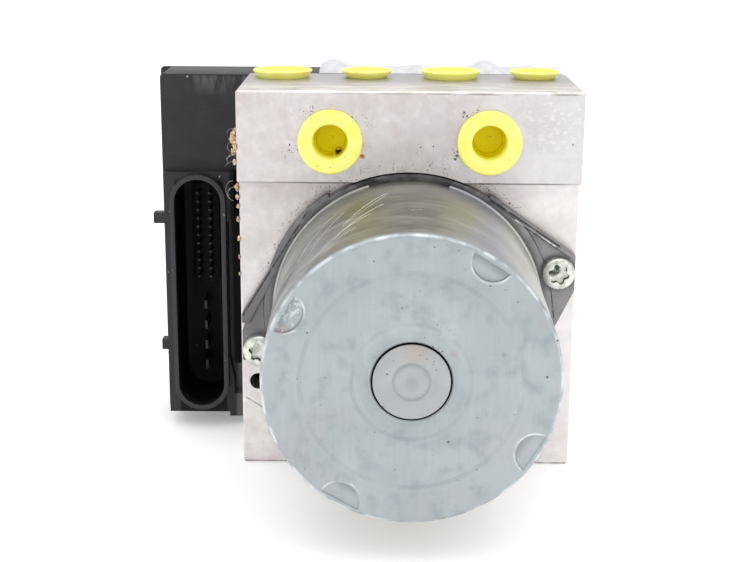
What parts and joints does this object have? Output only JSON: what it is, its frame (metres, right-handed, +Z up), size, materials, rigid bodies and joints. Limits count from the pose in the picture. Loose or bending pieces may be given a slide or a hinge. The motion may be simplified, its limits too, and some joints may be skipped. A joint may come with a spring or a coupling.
{
  "type": "anti-lock brake hydraulic unit",
  "caption": "Aluminium valve block with a round pump motor on its front, an electronic controller with a tall pin connector behind it, and yellow plugs in its ports.",
  "frame": {"origin": "in the valve block's bottom face, midway between the two threaded bracket holes", "axes": "+X to the right seen from the motor, +Y from the motor through the block to the controller, +Z up to the four top ports"},
  "size_m": [0.1258, 0.1282, 0.1133],
  "materials": {
    "block_aluminium": "sawn and machined, slightly mottled",
    "can_steel": "zinc plated deep drawn steel, scratched",
    "flange_casting": "die cast, dull grey",
    "screw_zinc": "bright zinc",
    "port_plug_yellow": "moulded yellow plastic",
    "housing_black": "moulded black plastic, dusty",
    "ground_steel": "ground steel",
    "lamination_steel": "stacked sheet steel",
    "copper_wire": "enamelled copper wire",
    "magnet_ferrite": "sintered ferrite",
    "carbon_brush": "pressed carbon",
    "holder_plastic": "moulded plastic",
    "pin_tin": "tinned brass",
    "board_green": "coated circuit board",
    "seal_rubber": "moulded rubber",
    "bronze_bush": "sintered bronze"
  },
  "bodies": {
    "unit": {"accumulator_covers": "can_steel", "accumulator_spring_left": "ground_steel", "accumulator_spring_right": "ground_steel", "bearing_cap": "can_steel", "brush_holder": "holder_plastic", "brush_springs": "ground_steel", "can_bearing": "bronze_bush", "circuit_board": "board_green", "coil_windings": "copper_wire", "coil_yokes": "can_steel", "controller_cover": "housing_black", "controller_gasket": "seal_rubber", "controller_housing": "housing_black", "controller_screws": "screw_zinc", "drilling_balls": "ground_steel", "flange_bearing": "ground_steel", "front_plug_left": "port_plug_yellow", "front_plug_right": "port_plug_yellow", "inlet_valves": "ground_steel", "magnets": "magnet_ferrite", "motor_can": "can_steel", "motor_contact": "holder_plastic", "motor_flange": "flange_casting", "motor_screws": "screw_zinc", "motor_seal": "seal_rubber", "outlet_valves": "ground_steel", "power_blades": "pin_tin", "pump_plugs": "block_aluminium", "pump_sleeves": "ground_steel", "pump_spring_left": "ground_steel", "pump_spring_right": "ground_steel", "signal_pins": "pin_tin", "top_plug_1": "port_plug_yellow", "top_plug_2": "port_plug_yellow", "top_plug_3": "port_plug_yellow", "top_plug_4": "port_plug_yellow", "valve_block": "block_aluminium"},
    "rotor": {"rotor_shaft": "ground_steel", "rotor_core": "lamination_steel", "rotor_windings": "copper_wire", "commutator": "copper_wire"},
    "drive_ring": {"eccentric_ring": "ground_steel"},
    "pump_piston_left": {"pump_piston_left": "ground_steel"},
    "accumulator_piston_left": {"accumulator_piston_left": "block_aluminium"},
    "brush_left": {"brush_left": "carbon_brush"},
    "pump_piston_right": {"pump_piston_right": "ground_steel"},
    "accumulator_piston_right": {"accumulator_piston_right": "block_aluminium"},
    "brush_right": {"brush_right": "carbon_brush"},
    "inlet_plunger_1": {"inlet_plunger_1": "ground_steel"},
    "outlet_plunger_1": {"outlet_plunger_1": "ground_steel"},
    "inlet_plunger_2": {"inlet_plunger_2": "ground_steel"},
    "outlet_plunger_2": {"outlet_plunger_2": "ground_steel"},
    "inlet_plunger_3": {"inlet_plunger_3": "ground_steel"},
    "outlet_plunger_3": {"outlet_plunger_3": "ground_steel"},
    "inlet_plunger_4": {"inlet_plunger_4": "ground_steel"},
    "outlet_plunger_4": {"outlet_plunger_4": "ground_steel"}
  },
  "joints": [
    {"name": "rotor_spin", "type": "hinge", "parent": "unit", "child": "rotor", "pos_m": [0, 0, 0.0482], "axis": [0, 1, 0], "continuous": true},
    {"name": "ring_turn", "type": "hinge", "parent": "rotor", "child": "drive_ring", "pos_m": [0, 0, 0.049], "axis": [0, 1, 0], "continuous": true},
    {"name": "pump_piston_right_slide", "type": "slide", "parent": "unit", "child": "pump_piston_right", "axis": [-1, 0, 0], "range_m": [0, 0.0016], "deforming": ["pump_spring_right"]},
    {"name": "pump_piston_left_slide", "type": "slide", "parent": "unit", "child": "pump_piston_left", "axis": [-1, 0, 0], "range_m": [-0.0016, 0], "deforming": ["pump_spring_left"]},
    {"name": "accumulator_left_slide", "type": "slide", "parent": "unit", "child": "accumulator_piston_left", "axis": [0, 0, -1], "range_m": [0, 0.008], "stiffness_N_per_m": 1500, "springref_m": -0.01, "deforming": ["accumulator_spring_left"]},
    {"name": "accumulator_right_slide", "type": "slide", "parent": "unit", "child": "accumulator_piston_right", "axis": [0, 0, -1], "range_m": [0, 0.008], "stiffness_N_per_m": 1500, "springref_m": -0.01, "deforming": ["accumulator_spring_right"]},
    {"name": "brush_left_slide", "type": "slide", "parent": "unit", "child": "brush_left", "axis": [-1, 0, 0], "range_m": [0, 0.004], "stiffness_N_per_m": 200, "springref_m": -0.008, "deforming": ["brush_springs"]},
    {"name": "brush_right_slide", "type": "slide", "parent": "unit", "child": "brush_right", "axis": [1, 0, 0], "range_m": [0, 0.004], "stiffness_N_per_m": 200, "springref_m": -0.008, "deforming": ["brush_springs"]},
    {"name": "inlet_plunger_1_slide", "type": "slide", "parent": "unit", "child": "inlet_plunger_1", "axis": [0, -1, 0], "range_m": [0, 0.0003], "stiffness_N_per_m": 500, "springref_m": -0.002},
    {"name": "outlet_plunger_1_slide", "type": "slide", "parent": "unit", "child": "outlet_plunger_1", "axis": [0, 1, 0], "range_m": [0, 0.0003], "stiffness_N_per_m": 500, "springref_m": -0.002},
    {"name": "inlet_plunger_2_slide", "type": "slide", "parent": "unit", "child": "inlet_plunger_2", "axis": [0, -1, 0], "range_m": [0, 0.0003], "stiffness_N_per_m": 500, "springref_m": -0.002},
    {"name": "outlet_plunger_2_slide", "type": "slide", "parent": "unit", "child": "outlet_plunger_2", "axis": [0, 1, 0], "range_m": [0, 0.0003], "stiffness_N_per_m": 500, "springref_m": -0.002},
    {"name": "inlet_plunger_3_slide", "type": "slide", "parent": "unit", "child": "inlet_plunger_3", "axis": [0, -1, 0], "range_m": [0, 0.0003], "stiffness_N_per_m": 500, "springref_m": -0.002},
    {"name": "outlet_plunger_3_slide", "type": "slide", "parent": "unit", "child": "outlet_plunger_3", "axis": [0, 1, 0], "range_m": [0, 0.0003], "stiffness_N_per_m": 500, "springref_m": -0.002},
    {"name": "inlet_plunger_4_slide", "type": "slide", "parent": "unit", "child": "inlet_plunger_4", "axis": [0, -1, 0], "range_m": [0, 0.0003], "stiffness_N_per_m": 500, "springref_m": -0.002},
    {"name": "outlet_plunger_4_slide", "type": "slide", "parent": "unit", "child": "outlet_plunger_4", "axis": [0, 1, 0], "range_m": [0, 0.0003], "stiffness_N_per_m": 500, "springref_m": -0.002}
  ],
  "couplings": [
    {"joint": "ring_turn", "follows": "rotor_spin", "ratio": -1}
  ]
}
